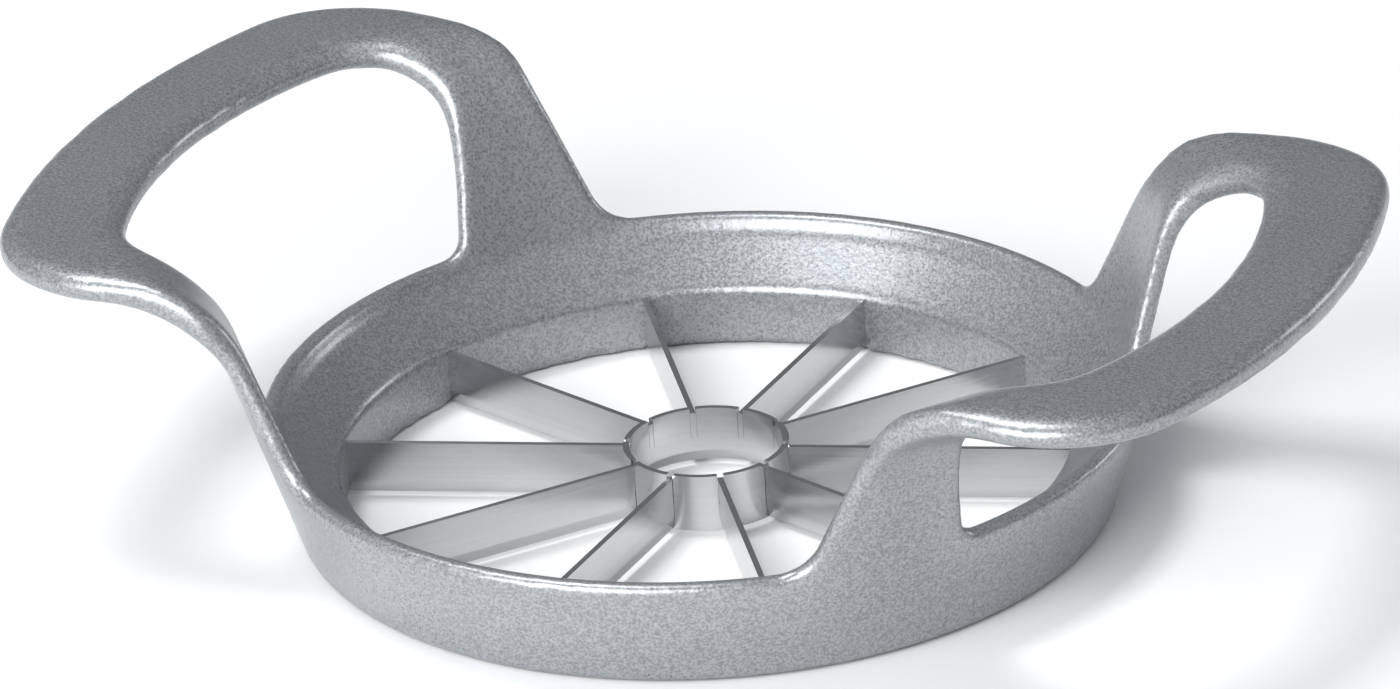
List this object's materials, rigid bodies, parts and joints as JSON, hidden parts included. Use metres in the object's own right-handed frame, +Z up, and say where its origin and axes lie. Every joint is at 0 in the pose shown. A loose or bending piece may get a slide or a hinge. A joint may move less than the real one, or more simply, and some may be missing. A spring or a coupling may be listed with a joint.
{
  "type": "apple divider",
  "caption": "Round apple divider: radial blades around a core ring, set in a cast conical frame with a raised loop grip on each side.",
  "frame": {"origin": "centre of the ring on the plane that its underside stands on", "axes": "+X along the line through both grips, +Y across it, +Z up along the ring's axis"},
  "size_m": [0.1828, 0.1192, 0.0437],
  "materials": {
    "cast_frame": "cast, with a fine satin silver coating",
    "blade_steel": "fine ground stainless strip"
  },
  "bodies": {
    "root": {"frame": "cast_frame", "blade_01": "blade_steel", "blade_02": "blade_steel", "blade_03": "blade_steel", "blade_04": "blade_steel", "blade_05": "blade_steel", "blade_06": "blade_steel", "blade_07": "blade_steel", "blade_08": "blade_steel", "blade_09": "blade_steel", "blade_10": "blade_steel", "core_ring": "blade_steel"}
  },
  "joints": []
}
